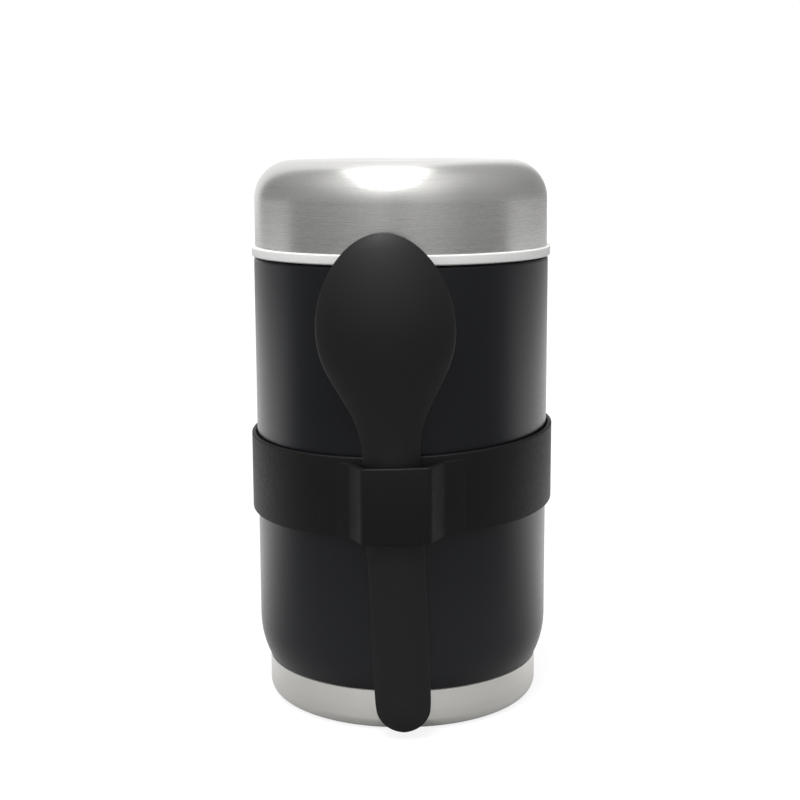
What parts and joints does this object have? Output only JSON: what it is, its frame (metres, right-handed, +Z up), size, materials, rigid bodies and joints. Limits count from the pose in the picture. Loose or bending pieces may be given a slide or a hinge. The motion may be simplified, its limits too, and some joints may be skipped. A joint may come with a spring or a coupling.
{
  "type": "insulated food jar",
  "caption": "Vacuum-insulated food jar with a domed screw-on cup lid, an inner stopper with a push vent, and a strap round the body whose pocket holds an upright spoon.",
  "frame": {"origin": "centre of the foot, on the plane that the jar stands on", "axes": "+Z up along the jar's axis, -Y towards the front where the spoon is, +X to the right of someone who faces the spoon"},
  "size_m": [0.0986, 0.1079, 0.1757],
  "materials": {
    "navy_coat": "satin powder coat, very dark navy",
    "vessel_steel": "plain satin stainless steel",
    "base_steel": "satin, brushed round the axis",
    "lid_steel": "brushed round the axis",
    "foil": "bright foil",
    "solder": "dull bead",
    "getter": "matt sintered pellet",
    "white_plastic": "satin white moulding",
    "foam": "closed-cell foam",
    "stopper_plastic": "satin dark moulding",
    "clear_silicone": "translucent silicone",
    "button_silicone": "matt grey",
    "spring_steel": "drawn wire",
    "strap_silicone": "matt black silicone",
    "spoon_nylon": "satin black moulding"
  },
  "bodies": {
    "jar": {"outer_shell": "navy_coat", "inner_vessel": "vessel_steel", "radiation_foil": "foil", "vacuum_plate": "vessel_steel", "vacuum_seal": "solder", "getter_holder": "vessel_steel", "getter": "getter", "base_cup": "base_steel"},
    "stopper": {"stopper_body": "stopper_plastic", "stopper_cover": "stopper_plastic", "stopper_foam": "foam", "stopper_gasket": "clear_silicone", "vent_spring": "spring_steel"},
    "vent": {"vent_button": "button_silicone", "vent_stem": "stopper_plastic", "vent_seal": "clear_silicone"},
    "cup": {"cup_shell": "lid_steel", "cup_liner": "white_plastic", "cup_foam": "foam"},
    "strap_body": {"strap": "strap_silicone"},
    "spoon_body": {"spoon": "spoon_nylon"}
  },
  "joints": [
    {"name": "stopper_lift", "type": "slide", "parent": "jar", "child": "stopper", "axis": [0, 0, 1], "range_m": [0, 0.04]},
    {"name": "cup_lift", "type": "slide", "parent": "stopper", "child": "cup", "axis": [0, 0, 1], "range_m": [0, 0.05]},
    {"name": "vent_press", "type": "slide", "parent": "stopper", "child": "vent", "axis": [0, 0, -1], "range_m": [0, 0.002], "stiffness_N_per_m": 400, "springref_m": -0.003, "deforming": ["vent_spring"]},
    {"name": "strap_turn", "type": "hinge", "parent": "jar", "child": "strap_body", "pos_m": [0, 0, 0.0771], "axis": [0, 0, 1], "continuous": true},
    {"name": "spoon_slide", "type": "slide", "parent": "strap_body", "child": "spoon_body", "axis": [-0.0415, 0, 0.9991], "range_m": [0, 0.09]}
  ]
}
